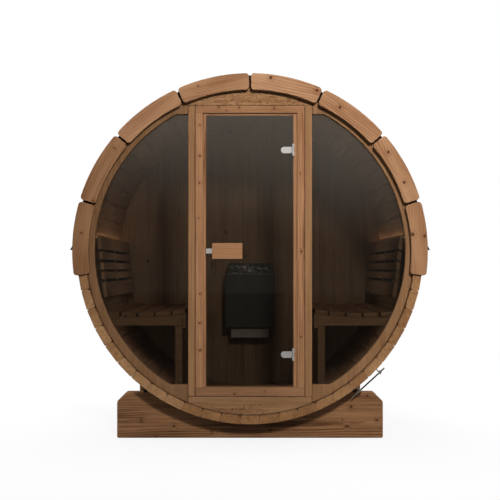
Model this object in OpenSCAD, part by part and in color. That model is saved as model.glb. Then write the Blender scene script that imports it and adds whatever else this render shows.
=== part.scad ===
// Barrel sauna: a horizontal cylinder of wooden staves on two saddle cradles, with a glazed
// front wall, a hinged glass door, two curved benches with backrests and a stone heater.
// X runs to the right, Y away from the door and Z up. The cradles stand on z = 0.

/* [Barrel] */
// Length over the fascia boards at both ends
overall_l = 1800; // [1600:10:2400]
// Outer radius of the barrel, at the corners of the staves
barrel_r = 1004; // [1000:1:1008]
// Thickness of a stave
stave_t = 47; // [44:1:48]
// Height of the lowest stave above the ground
ground_gap = 105; // [100:1:115]
// Gap at each joint between two staves
joint_gap = 0.4; // [0.2:0.1:1]

/* [Fascia] */
// Inner radius of the curved fascia boards
fascia_in_r = 930; // [920:1:940]
// Outer radius of the curved fascia boards
fascia_out_r = 1025; // [1015:1:1035]
// Thickness of a fascia board
fascia_t = 28; // [20:1:35]
// Gap between two fascia boards
fascia_gap = 11; // [6:1:16]
// Angle from one fascia board to the next
fascia_pitch = 24.45; // [24:0.05:25]
// Extra angle over which the lowest fascia board of each side runs on
fascia_last_extra = 0.6; // [0:0.05:1.5]

/* [Front wall] */
// Thickness of the end walls
wall_t = 45; // [40:1:50]
// Depth of each end wall behind the ends of the staves
wall_recess = 37; // [30:1:45]
// Radius of the curved edge of the windows
window_r = 905; // [890:1:910]
// Height of the windows' flat top above the barrel's axis
window_top = 796; // [780:1:800]
// Depth of the windows' flat bottom below the barrel's axis
window_drop = 776; // [760:1:790]
// Width of the wall post beside the door casing
post_w = 44; // [40:1:50]
// Thickness of the window glass
pane_t = 8; // [6:1:10]
// Depth of the window glass behind the wall's outer face
pane_recess = 20; // [15:1:25]

/* [Door casing] */
// Half of the casing's outer width
casing_half_w = 317; // [310:1:325]
// Height of the casing's underside
casing_bottom = 266; // [262:1:270]
// Height of the casing's top
casing_top = 1955; // [1945:1:1960]
// Depth of the casing from front to back
casing_d = 62; // [58:1:70]
// Open joint between the casing and the wall round it
casing_gap = 3; // [1:0.5:4]
// How far the casing stands in front of the wall
casing_proud = 7; // [4:1:10]
// Face width of the left jamb
jamb_left_w = 45; // [40:1:46]
// Face width of the right jamb, beside the hinges
jamb_right_w = 42; // [40:1:43]
// Face height of the casing's head
head_h = 42; // [38:1:44]
// Face height of the threshold
threshold_h = 51; // [46:1:52]
// How far the door stop sits behind the casing's face
stop_setback = 22; // [20:1:24]

/* [Door] */
// Thickness of the door glass
glass_t = 8; // [6:1:8]
// Distance of the glass's free edge left of the middle
glass_left = 256; // [250:1:258]
// Distance of the glass's hinge edge right of the middle
glass_right = 253.5; // [252:0.5:254]
// Clearance between the closed glass and the fixed woodwork
door_clearance = 6; // [5:1:8]
// Width of the handle block
handle_w = 175; // [160:1:190]
// Height of the handle block
handle_h = 91; // [80:1:100]
// Thickness of the handle block
handle_t = 28; // [20:1:30]
// Height of the handle's middle
handle_z = 1109.5; // [1050:0.5:1150]
// Height of the upper hinge
hinge_upper_z = 1697; // [1650:1:1750]
// Height of the lower hinge
hinge_lower_z = 507; // [450:1:550]

/* [Benches] */
// Distance of the front end of the benches from the front fascia's face
bench_setback = 168; // [160:1:200]
// Distance from one seat slat to the next
slat_pitch = 100; // [96:1:104]
// Gap between two seat slats
slat_gap = 8; // [5:1:12]
// Thickness of a seat slat
slat_t = 28; // [24:1:30]
// Distance of the seat's inner edge from the middle
bench_in_x = 385; // [380:1:390]
// Lowest height of the seat's hollow
seat_low_z = 746; // [730:1:760]
// Radius of the seat's hollow
seat_r = 1720; // [1500:10:2000]
// Height of the underside of the bearers
bearer_bottom_z = 670; // [660:1:680]

/* [Backrests] */
// Outward lean of the backrest
back_lean = 7; // [5:0.5:9]
// Thickness of a backrest slat
back_t = 24; // [20:1:26]

/* [Heater] */
// Width of the heater's housing
heater_w = 350; // [300:5:400]
// Depth of the heater's housing
heater_d = 236; // [200:2:260]
// Height of the housing's underside
heater_z = 589; // [550:1:620]
// Height of the housing's front edge
heater_front_z = 970; // [940:1:990]
// Height of the stone tray's back edge
heater_back_z = 1050; // [1020:1:1070]
// Thickness of the heater's sheet steel
sheet_t = 2; // [1.5:0.5:3]

/* [Cradles] */
// Half of a cradle's width
cradle_half_w = 791; // [760:1:800]
// Height of a cradle's flat top
cradle_h = 273; // [265:1:280]
// Thickness of a cradle along the barrel
cradle_t = 85; // [70:1:100]
// Distance of a cradle's outer face from the nearer fascia's face
cradle_setback = 200; // [190:1:220]
// Size of the chamfer on a cradle's outer corners
cradle_chamfer = 55; // [40:1:65]
// Thickness of the rubber pad in the saddle
pad_t = 8; // [5:1:12]
// Height of the pad's end block above the cradle's flat top
pad_block_h = 26; // [20:1:30]

/* [Bands] */
// Width of a steel band
band_w = 28; // [20:1:32]
// Thickness of a steel band
band_t = 1.6; // [1:0.1:1.6]
// Distance of a band's middle from the nearer fascia's face
band_setback = 130; // [110:1:150]
// Angle of the tensioner round from straight down
tensioner_angle = 42.6; // [40:0.1:46]
// Angle between the tensioner's two lugs
lug_spread = 8.5; // [8:0.1:10]
// Length of the threaded tension rod
rod_l = 257; // [240:1:270]
// Diameter of the threaded tension rod
rod_d = 9; // [8:1:10]

/* [Roof] */
// Thickness of the bitumen roof skin
roof_t = 5; // [3:1:6]
// Angle that the roof skin covers on each side of the top
roof_half_angle = 88; // [80:0.5:88]
// Reach of the drip edges from the middle
drip_x = 1040; // [1034:1:1044]

/* [Hidden] */
$fn = 256;

axis_z = ground_gap + barrel_r;
stave_in_r = barrel_r - stave_t;
stave_count = 54;
stave_pitch = 360 / stave_count;
stave_end_y = overall_l / 2 - fascia_t;
fascia_per_side = 4;

// The end walls stand just inside the flats of the staves
wall_r = stave_in_r * cos(stave_pitch / 2) - 0.4;
wall_out_y = stave_end_y - wall_recess;
wall_in_y = wall_out_y - wall_t;
window_in_x = casing_half_w + post_w;
pane_y = -wall_out_y + pane_recess;
fit_gap = 0.2;

casing_y = -wall_out_y - casing_proud;
stop_y = casing_y + stop_setback;
casing_back_y = casing_y + casing_d;
stop_cover = 5;
glass_y = stop_y - door_clearance - glass_t;
glass_bottom = casing_bottom + threshold_h + door_clearance;
glass_top = casing_top - head_h - 13;

handle_x = -131.5;
handle_standoff = 12;
standoff_r = 9;
latch_w = 38;
latch_h = 29;
plate_t = 4;
hinge_x = 250;
knuckle_r = 6.5;
knuckle_h = 24;
hinge_h = 71;
// The pin stands in front of the glass, and the fixed foot passes beside its edge
hinge_y = glass_y - knuckle_r - 2;
hinge_foot_t = 3;
hinge_notch_w = 4;
hinge_notch_h = hinge_h + 12;
leaf_end_x = 180;
leaf_h = 37;
leaf_base_x = 242;

bench_y0 = -overall_l / 2 + bench_setback;
bench_y1 = wall_in_y - 0.5;
slat_count = 5;
first_slot_x = 467;
bench_out_x = 870;
seat_low_x = 660;
rim_x = 379;
rim_t = 20;
rim_bottom_z = 656;
leg_x = 400;
leg_w = 43;
skirt_t = 18;
bearer_t = 28;
bearer_ys = [bench_y0, -14, bench_y1 - bearer_t];

// Middle of each backrest slat, as [distance from the middle, height, slat height]
back_slats = [[893, 1159, 78], [884, 1083, 45], [876, 1022, 43], [870, 966, 44], [860, 882, 92]];
bracket_ys = [-600, -20, 560];
bracket_t = 40;
led_w = 10;
led_x = 922;
led_z = 1186;

heater_y1 = wall_in_y - 0.5;
heater_y0 = heater_y1 - heater_d;
tray_back_w = 309;
tray_back_d = 40;
tray_z = 860;
base_w = 270;
base_h = 74;
base_d = 190;

saddle_r = barrel_r + pad_t;
pad_block_x = 634;
band_y = overall_l / 2 - band_setback;
band_gap = 0.3;
lug_t = 6;
lug_w = 26;
rod_r = barrel_r + 36;
rod_shift = -12;
nut_r = 8.5;
nut_t = 8;
washer_r = 10;
washer_t = 2;

roof_in_r = barrel_r + 2.2;
drip_t = 2;

// A point at radius r round the barrel's axis, a degrees clockwise from the top
function polar(r, a) = [r * sin(a), r * cos(a)];

// Height of the seat's hollow at distance x from the middle, and its slope there
function seat_z(x) = seat_low_z + seat_r - sqrt(seat_r * seat_r - (x - seat_low_x) * (x - seat_low_x));
function seat_slope(x) = asin((x - seat_low_x) / seat_r);

// Extrudes an X-Z outline from y0 to y1
module along_y(y0, y1) {
    translate([0, y1, 0]) rotate([90, 0, 0]) linear_extrude(y1 - y0) children();
}

// The same, with the outline drawn round the barrel's axis
module along_axis(y0, y1) {
    along_y(y0, y1) translate([0, axis_z]) children();
}

// Ring between two radii, from angle a0 to a1 clockwise from the top, under half a turn
module ring_sector(r0, r1, a0, a1) {
    reach = 3 * r1;
    middle = (a0 + a1) / 2;
    intersection() {
        difference() {
            circle(r1);
            circle(r0);
        }
        polygon([[0, 0], polar(reach, a0), polar(reach, middle), polar(reach, a1)]);
    }
}

module box(x0, x1, y0, y1, z0, z1) {
    translate([x0, y0, z0]) cube([x1 - x0, y1 - y0, z1 - z0]);
}

module both_sides() {
    children();
    mirror([1, 0, 0]) children();
}

// Barrel

module stave(index) {
    half = stave_pitch / 2 - asin(joint_gap / 2 / stave_in_r);
    angle = index * stave_pitch;
    along_axis(-stave_end_y, stave_end_y)
        polygon([
            polar(stave_in_r, angle - half), polar(barrel_r, angle - half),
            polar(barrel_r, angle + half), polar(stave_in_r, angle + half)
        ]);
}

module staves(first, last) {
    color("peru") for (index = [first : last]) stave(index);
}

module staves_top() { staves(-3, 3); }
module staves_right_upper() { staves(4, 13); }
module staves_right_lower() { staves(14, 23); }
module staves_bottom() { staves(24, 30); }
module staves_left_lower() { staves(31, 40); }
module staves_left_upper() { staves(41, 50); }

// Each band runs all round the barrel except between the lugs of its tensioner
module steel_bands() {
    band_r = barrel_r + band_gap;
    start = 180 - tensioner_angle + lug_spread / 2;
    sweep = (360 - lug_spread) / 3;
    color("dimgray") for (side = [-1, 1])
        along_axis(side * band_y - band_w / 2, side * band_y + band_w / 2)
            for (part = [0 : 2])
                ring_sector(band_r, band_r + band_t, start + part * sweep, start + (part + 1) * sweep);
}

// Two lugs, and a threaded rod with a nut and a washer outside each of them
module tensioner(y) {
    half_span = rod_r * tan(lug_spread / 2);
    lug_h = rod_r - barrel_r + 11;
    nut_at = half_span + lug_t / 2;
    color("silver") translate([0, y, axis_z]) rotate([0, 180 - tensioner_angle, 0]) {
        for (side = [-1, 1]) translate([side * half_span, 0, 0]) {
            difference() {
                translate([-lug_t / 2, -lug_w / 2, rod_r + 11 - lug_h + 3]) cube([lug_t, lug_w, lug_h - 3]);
                translate([0, 0, rod_r]) rotate([0, 90, 0]) cylinder(h = 3 * lug_t, d = rod_d, center = true);
            }
            translate([side * (lug_t / 2 + 0.01), 0, rod_r]) rotate([0, side * 90, 0]) {
                difference() {
                    union() {
                        cylinder(h = washer_t, r = washer_r);
                        cylinder(h = washer_t + nut_t, r = nut_r, $fn = 6);
                    }
                    translate([0, 0, -1]) cylinder(h = washer_t + nut_t + 2, d = rod_d);
                }
            }
        }
        translate([-rod_l / 2 - rod_shift, 0, rod_r]) rotate([0, 90, 0]) cylinder(h = rod_l, d = rod_d - 0.02);
    }
}

module tensioner_front() { tensioner(-band_y); }
module tensioner_rear() { tensioner(band_y); }

// Cradles

module cradle_outline() {
    difference() {
        polygon([
            [-cradle_half_w, 0], [cradle_half_w, 0],
            [cradle_half_w, cradle_h - cradle_chamfer], [cradle_half_w - cradle_chamfer, cradle_h],
            [cradle_chamfer - cradle_half_w, cradle_h], [-cradle_half_w, cradle_h - cradle_chamfer]
        ]);
        translate([0, axis_z]) circle(saddle_r);
    }
}

module cradle(outer_y) {
    color("saddlebrown") along_y(outer_y, outer_y + cradle_t) cradle_outline();
}

cradle_y = overall_l / 2 - cradle_setback;
module cradle_front() { cradle(-cradle_y); }
module cradle_rear() { cradle(cradle_y - cradle_t); }

// The pad lines the saddle, and ends in a block on the cradle's flat top at each side
module saddle_pads() {
    color("black") for (y = [-cradle_y, cradle_y - cradle_t]) along_y(y, y + cradle_t)
        difference() {
            union() {
                intersection() {
                    translate([0, axis_z]) circle(saddle_r);
                    translate([-cradle_half_w, 0]) square([2 * cradle_half_w, cradle_h]);
                }
                translate([-pad_block_x, cradle_h]) square([2 * pad_block_x, pad_block_h]);
            }
            translate([0, axis_z]) circle(barrel_r + band_gap);
        }
}

// Roof

module roof_cover() {
    color("black") along_axis(-stave_end_y, stave_end_y)
        ring_sector(roof_in_r, roof_in_r + roof_t, -roof_half_angle, roof_half_angle);
}

// Bent strip that leads the water off each lower edge of the roof skin
module drip_edge() {
    top = polar(roof_in_r + roof_t + 0.6, roof_half_angle - 4);
    bend = polar(roof_in_r + roof_t + 0.6, roof_half_angle - 1.5);
    lip_z = 8;
    color("black") along_axis(-stave_end_y, stave_end_y)
        polygon([
            top, [top.x + drip_t, top.y],
            [bend.x + drip_t, bend.y], [drip_x, lip_z], [drip_x, lip_z - drip_t], [drip_x - 3, lip_z - drip_t],
            [bend.x, bend.y - drip_t]
        ]);
}

module drip_edge_right() { drip_edge(); }
module drip_edge_left() { mirror([1, 0, 0]) drip_edge(); }

// Fascia

module fascia_board(index) {
    trim = asin(fascia_gap / 2 / fascia_in_r);
    first = index * fascia_pitch;
    last = first + fascia_pitch + (index == fascia_per_side - 1 ? fascia_last_extra : 0);
    ring_sector(fascia_in_r, fascia_out_r, first + trim, last - trim);
}

module fascia_right(y) {
    color("sienna") along_axis(y, y + fascia_t)
        for (index = [0 : fascia_per_side - 1]) fascia_board(index);
}

module fascia_front_right() { fascia_right(-overall_l / 2); }
module fascia_front_left() { mirror([1, 0, 0]) fascia_right(-overall_l / 2); }
module fascia_rear_right() { fascia_right(stave_end_y); }
module fascia_rear_left() { mirror([1, 0, 0]) fascia_right(stave_end_y); }

// Front wall

module front_wall_piece() {
    color("peru") along_axis(-wall_out_y, -wall_in_y) children();
}

module window_outline(inset) {
    intersection() {
        circle(window_r - inset);
        translate([window_in_x + inset, -window_drop + inset])
            square([window_r, window_drop + window_top - 2 * inset]);
    }
}

module front_side() {
    front_wall_piece() difference() {
        intersection() {
            circle(wall_r);
            translate([window_in_x, -wall_r]) square([wall_r, 2 * wall_r]);
        }
        window_outline(0);
    }
}

module front_post() {
    color("peru") box(casing_half_w + casing_gap, window_in_x, -wall_out_y, -wall_in_y,
        casing_bottom - casing_gap + fit_gap, casing_top + casing_gap - fit_gap);
}

module front_header() {
    front_wall_piece() intersection() {
        circle(wall_r);
        translate([-window_in_x, casing_top + casing_gap - axis_z]) square([2 * window_in_x, wall_r]);
    }
}

module front_base() {
    front_wall_piece() intersection() {
        circle(wall_r);
        translate([-window_in_x, casing_bottom - casing_gap - axis_z - wall_r])
            square([2 * window_in_x, wall_r]);
    }
}

module front_side_right() { front_side(); }
module front_side_left() { mirror([1, 0, 0]) front_side(); }
module front_post_right() { front_post(); }
module front_post_left() { mirror([1, 0, 0]) front_post(); }

module window_panes() {
    color([0.2, 0.15, 0.12, 0.6]) both_sides() along_axis(pane_y, pane_y + pane_t) window_outline(0.5);
}

// Door casing, with a stop behind the edge of the glass

module casing_jamb(face_w, glass_edge) {
    z0 = casing_bottom + threshold_h;
    z1 = casing_top - head_h;
    color("sienna") {
        box(casing_half_w - face_w, casing_half_w, casing_y, casing_back_y, z0, z1);
        box(glass_edge - stop_cover, casing_half_w - face_w, stop_y, casing_back_y, z0, z1);
    }
}

module casing_jamb_right() { casing_jamb(jamb_right_w, glass_right); }
module casing_jamb_left() { mirror([1, 0, 0]) casing_jamb(jamb_left_w, glass_left); }

module casing_head() {
    z1 = casing_top - head_h;
    color("sienna") {
        box(-casing_half_w, casing_half_w, casing_y, casing_back_y, z1, casing_top);
        box(-glass_left + stop_cover, glass_right - stop_cover, stop_y, casing_back_y, glass_top - stop_cover, z1);
    }
}

module casing_threshold() {
    z1 = casing_bottom + threshold_h;
    color("sienna") {
        box(-casing_half_w, casing_half_w, casing_y, casing_back_y, casing_bottom, z1);
        box(-glass_left + stop_cover, glass_right - stop_cover, stop_y, casing_back_y, z1, glass_bottom + stop_cover);
    }
}

// Door: a frameless pane, notched for the hinges, with a block handle on both faces

module door_glass() {
    color([0.2, 0.15, 0.12, 0.6]) difference() {
        box(-glass_left, glass_right, glass_y, glass_y + glass_t, glass_bottom, glass_top);
        for (z = [hinge_upper_z, hinge_lower_z])
            box(glass_right - hinge_notch_w, glass_right + 1, glass_y - 1, glass_y + glass_t + 1,
                z - hinge_notch_h / 2, z + hinge_notch_h / 2);
    }
}

module handle_half(pane_face_y, side) {
    near = pane_face_y + side * handle_standoff;
    far = near + side * handle_t;
    box(handle_x - handle_w / 2, handle_x + handle_w / 2, min(near, far), max(near, far),
        handle_z - handle_h / 2, handle_z + handle_h / 2);
    for (end = [-1, 1])
        translate([handle_x + end * handle_w / 4, pane_face_y, handle_z])
            rotate([-side * 90, 0, 0]) cylinder(h = handle_standoff, r = standoff_r);
}

module door_handle() {
    color("sandybrown") {
        handle_half(glass_y, -1);
        handle_half(glass_y + glass_t, 1);
    }
}

module door_latch_plate() {
    color("silver") for (y = [glass_y - plate_t, glass_y + glass_t])
        box(-glass_left, latch_w - glass_left, y, y + plate_t, handle_z - latch_h / 2, handle_z + latch_h / 2);
}

// Moving half of a hinge: a clamp plate with a round end on each face of the glass, and the
// middle knuckle that turns between the fixed ones
module hinge_leaf(z) {
    round_x = leaf_end_x + leaf_h / 2;
    pin_d = 5;
    translate([0, 0, z]) {
        for (y = [glass_y - plate_t, glass_y + glass_t]) {
            box(round_x, leaf_base_x, y, y + plate_t, -leaf_h / 2, leaf_h / 2);
            translate([round_x, y + plate_t, 0]) rotate([90, 0, 0]) cylinder(h = plate_t, d = leaf_h);
        }
        difference() {
            union() {
                box(leaf_base_x - 4, hinge_x, hinge_y, glass_y, -knuckle_h / 2, knuckle_h / 2);
                translate([hinge_x, hinge_y, -knuckle_h / 2]) cylinder(h = knuckle_h, r = knuckle_r);
            }
            translate([hinge_x, hinge_y, -hinge_h]) cylinder(h = 2 * hinge_h, d = pin_d + 0.1);
        }
    }
}

module door_hinge_leaves() {
    color("silver") for (z = [hinge_upper_z, hinge_lower_z]) hinge_leaf(z);
}

// Fixed half of a hinge: a foot on the door stop, two knuckles and the pin
module hinge_bracket(z) {
    running_gap = 0.5;
    inner = knuckle_h / 2 + running_gap;
    pin_d = 5;
    foot_x = glass_right + 2;
    translate([0, 0, z]) {
        for (z0 = [-hinge_h / 2, inner]) {
            translate([hinge_x, hinge_y, z0]) cylinder(h = hinge_h / 2 - inner, r = knuckle_r);
            translate([0, 0, z0]) {
                box(hinge_x, foot_x, hinge_y - 2, hinge_y + 2, 0, hinge_h / 2 - inner);
                box(foot_x, foot_x + hinge_foot_t, hinge_y - 2, stop_y, 0, hinge_h / 2 - inner);
            }
        }
        translate([hinge_x, hinge_y, -hinge_h / 2]) cylinder(h = hinge_h, d = pin_d);
    }
}

module hinge_brackets() {
    color("silver") for (z = [hinge_upper_z, hinge_lower_z]) hinge_bracket(z);
}

// Rear wall

module rear_wall() {
    color("peru") along_axis(wall_in_y, wall_out_y) circle(wall_r);
}

// Benches

// Slats are cut to width at the slots between them, and tilt with the seat's hollow
module bench_slat(index) {
    x0 = index == 0 ? bench_in_x : first_slot_x + (index - 1) * slat_pitch + slat_gap / 2;
    x1 = index == slat_count - 1 ? bench_out_x : first_slot_x + index * slat_pitch - slat_gap / 2;
    x = (x0 + x1) / 2;
    width = x1 - x0;
    translate([x, seat_z(x)]) rotate(seat_slope(x)) translate([-width / 2, -slat_t]) square([width, slat_t]);
}

module bench_slats() {
    color("peru") along_y(bench_y0, bench_y1) for (index = [0 : slat_count - 1]) bench_slat(index);
}

module bench_slats_right() { bench_slats(); }
module bench_slats_left() { mirror([1, 0, 0]) bench_slats(); }

// Boards on edge that carry the seat slats, and the leg under the first of them
module bench_bearers() {
    outline_x = rim_x + rim_t;
    color("sienna") both_sides() {
        for (y = bearer_ys) along_y(y, y + bearer_t) intersection() {
            translate([0, axis_z]) circle(wall_r);
            difference() {
                translate([outline_x, bearer_bottom_z]) square([stave_in_r, seat_low_z]);
                translate([seat_low_x, seat_low_z + seat_r]) circle(seat_r + slat_t + 1);
                translate([outline_x, seat_low_z + 60]) square([stave_in_r, seat_low_z]);
            }
        }
        along_y(bench_y0, bench_y0 + leg_w) intersection() {
            translate([0, axis_z]) circle(wall_r);
            translate([leg_x, 0]) square([leg_w, bearer_bottom_z - 0.2]);
        }
    }
}

// Rim board along the seat's inner edge, and the upright boarding below it
module bench_skirts() {
    rim_top_z = seat_z(bench_in_x) - slat_t - 4;
    color("sienna") both_sides() {
        box(rim_x, rim_x + rim_t - 0.2, bench_y0, bench_y1, rim_bottom_z, rim_top_z);
        along_y(bench_y0 + leg_w + 0.5, bench_y1) intersection() {
            translate([0, axis_z]) circle(wall_r);
            translate([leg_x, 0]) square([skirt_t, bearer_bottom_z - 0.2]);
        }
    }
}

// Backrests

module backrest_slats() {
    color("sienna") along_y(bench_y0, bench_y1) for (slat = back_slats)
        translate([slat[0], slat[1]]) rotate(-back_lean) square([back_t, slat[2]], center = true);
}

module backrest_slats_right() { backrest_slats(); }
module backrest_slats_left() { mirror([1, 0, 0]) backrest_slats(); }

module backrest_brackets() {
    low = back_slats[4];
    high = back_slats[0];
    color("sienna") both_sides() for (y = bracket_ys) along_y(y, y + bracket_t) intersection() {
        translate([0, axis_z]) circle(wall_r);
        polygon([
            [low.x + back_t / 2 - 1, low.y - 30], [low.x + 200, low.y - 30],
            [high.x + 200, led_z - fit_gap], [high.x + back_t / 2 + 5, led_z - fit_gap]
        ]);
    }
}

module led_strips() {
    color("gold") both_sides() box(led_x, led_x + led_w, bench_y0 + 20, bench_y1 - 20, led_z, led_z + led_w);
}

// Heater

module heater_side_outline(back_z) {
    polygon([[heater_y0, heater_z], [heater_y1, heater_z], [heater_y1, back_z], [heater_y0, heater_front_z]]);
}

// Open steel housing with a slanting top edge, and the tray that the stones lie on
module heater_housing() {
    half = heater_w / 2;
    color("dimgray") difference() {
        translate([-half, 0, 0]) rotate([90, 0, 90]) linear_extrude(heater_w) heater_side_outline(heater_back_z);
        box(sheet_t - half, half - sheet_t, heater_y0 + sheet_t, heater_y1 - sheet_t,
            heater_z + sheet_t, tray_z - sheet_t);
        box(sheet_t - half, half - sheet_t, heater_y0 + sheet_t, heater_y1 - sheet_t,
            tray_z, heater_back_z + 10);
        box(-half + 20, half - 20, heater_y0 + 20, heater_y1 - 20, heater_z - 1, heater_z + sheet_t + 1);
    }
}

module heater_stones() {
    half = heater_w / 2 - sheet_t - 0.5;
    y0 = heater_y0 + sheet_t + 0.5;
    y1 = heater_y1 - sheet_t - 0.5;
    color("slategray") translate([-half, 0, 0]) rotate([90, 0, 90]) linear_extrude(2 * half)
        polygon([[y0, tray_z + 0.5], [y1, tray_z + 0.5], [y1, heater_back_z - 12], [y0, heater_front_z - 4]]);
}

module heater_base() {
    half = base_w / 2;
    color("silver") difference() {
        box(-half, half, heater_y1 - base_d, heater_y1, heater_z - base_h, heater_z - 0.2);
        box(sheet_t - half, half - sheet_t, heater_y1 - base_d + sheet_t, heater_y1 - sheet_t,
            heater_z - base_h + sheet_t, heater_z);
    }
}

staves_top();
staves_right_upper();
staves_right_lower();
staves_bottom();
staves_left_lower();
staves_left_upper();
steel_bands();
tensioner_front();
tensioner_rear();
cradle_front();
cradle_rear();
saddle_pads();
roof_cover();
drip_edge_left();
drip_edge_right();
fascia_front_left();
fascia_front_right();
fascia_rear_left();
fascia_rear_right();
front_header();
front_base();
front_post_left();
front_post_right();
front_side_left();
front_side_right();
window_panes();
casing_jamb_left();
casing_jamb_right();
casing_head();
casing_threshold();
door_glass();
door_handle();
door_latch_plate();
door_hinge_leaves();
hinge_brackets();
rear_wall();
bench_slats_left();
bench_slats_right();
bench_bearers();
bench_skirts();
backrest_slats_left();
backrest_slats_right();
backrest_brackets();
led_strips();
heater_housing();
heater_stones();
heater_base();
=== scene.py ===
"""Looks of the barrel sauna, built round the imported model. Metres, Z up, the door faces -Y."""

import math
import random

import bpy
import numpy as np
from mathutils import Matrix, Vector


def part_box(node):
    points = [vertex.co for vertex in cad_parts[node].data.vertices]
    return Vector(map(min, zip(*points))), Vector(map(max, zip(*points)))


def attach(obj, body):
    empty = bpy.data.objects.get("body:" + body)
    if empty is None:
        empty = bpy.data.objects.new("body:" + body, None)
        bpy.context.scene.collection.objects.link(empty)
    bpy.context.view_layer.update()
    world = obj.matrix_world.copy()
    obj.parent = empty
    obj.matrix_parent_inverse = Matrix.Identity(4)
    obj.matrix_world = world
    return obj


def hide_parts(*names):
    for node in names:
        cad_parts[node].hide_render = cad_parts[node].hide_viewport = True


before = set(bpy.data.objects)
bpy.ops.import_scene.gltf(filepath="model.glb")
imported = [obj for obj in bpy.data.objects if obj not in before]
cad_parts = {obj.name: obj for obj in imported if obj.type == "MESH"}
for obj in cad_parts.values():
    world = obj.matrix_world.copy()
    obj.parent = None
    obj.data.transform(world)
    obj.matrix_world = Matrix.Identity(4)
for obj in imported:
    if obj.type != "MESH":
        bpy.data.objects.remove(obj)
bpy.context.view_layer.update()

# ---------------------------------------------------------------- driving sizes

SHELL, DOOR = "shell", "door"

wall_low, wall_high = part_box("rear_wall")
AXIS_Z = (wall_low.z + wall_high.z) / 2
WALL_R = (wall_high.z - wall_low.z) / 2
WALL_IN_Y = wall_low.y
WALL_OUT_Y = wall_high.y

stave_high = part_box("staves_top")[1]
STAVE_Y = stave_high.y
STAVE_COUNT = 54
STAVE_PITCH = 2 * math.pi / STAVE_COUNT
STAVE_OUT = stave_high.z - AXIS_Z
STAVE_T = 0.047 * math.cos(STAVE_PITCH / 2)
STAVE_GAP = 0.0004
STAVE_GROUPS = {
    "staves_top": (-3, 3),
    "staves_right_upper": (4, 13),
    "staves_right_lower": (14, 23),
    "staves_bottom": (24, 30),
    "staves_left_lower": (31, 40),
    "staves_left_upper": (41, 50),
}

fascia_low, fascia_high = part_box("fascia_front_right")
FASCIA_IN, FASCIA_OUT = 0.930, 1.025
FASCIA_T = fascia_high.y - fascia_low.y
FASCIA_PITCH = math.radians(24.45)
FASCIA_GAP = 0.011
FASCIA_PER_SIDE = 4
FASCIA_LAST_EXTRA = math.radians(0.6)

# Vertices closer than this are one
MERGE = 0.00002

rng = random.Random(11)

# ---------------------------------------------------------------- shader toolkit


class Field:
    """A number that varies over a surface. Arithmetic on it adds Math nodes."""

    def __init__(self, finish, socket):
        self.finish = finish
        self.socket = socket

    def math(self, operation, *terms):
        node = self.finish.node("ShaderNodeMath", {"operation": operation}, dict(enumerate(terms)))
        return Field(self.finish, node.outputs[0])

    def __add__(self, other):
        return self.math("ADD", self, other)

    def __radd__(self, other):
        return self.math("ADD", other, self)

    def __sub__(self, other):
        return self.math("SUBTRACT", self, other)

    def __rsub__(self, other):
        return self.math("SUBTRACT", other, self)

    def __mul__(self, other):
        return self.math("MULTIPLY", self, other)

    def __rmul__(self, other):
        return self.math("MULTIPLY", other, self)

    def __truediv__(self, other):
        return self.math("DIVIDE", self, other)

    def __pow__(self, other):
        return self.math("POWER", self, other)

    def __lt__(self, other):
        return self.math("LESS_THAN", self, other)

    def fract(self):
        return self.math("FRACT", self)

    def absolute(self):
        return self.math("ABSOLUTE", self)

    def least(self, other):
        return self.math("MINIMUM", self, other)

    def most(self, other):
        return self.math("MAXIMUM", self, other)

    def smooth(self, start, end):
        """0 at start, 1 at end and beyond, eased between them."""
        node = self.finish.node(
            "ShaderNodeMapRange",
            {"interpolation_type": "SMOOTHSTEP"},
            {"Value": self, "From Min": start, "From Max": end},
        )
        return Field(self.finish, node.outputs["Result"])


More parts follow.
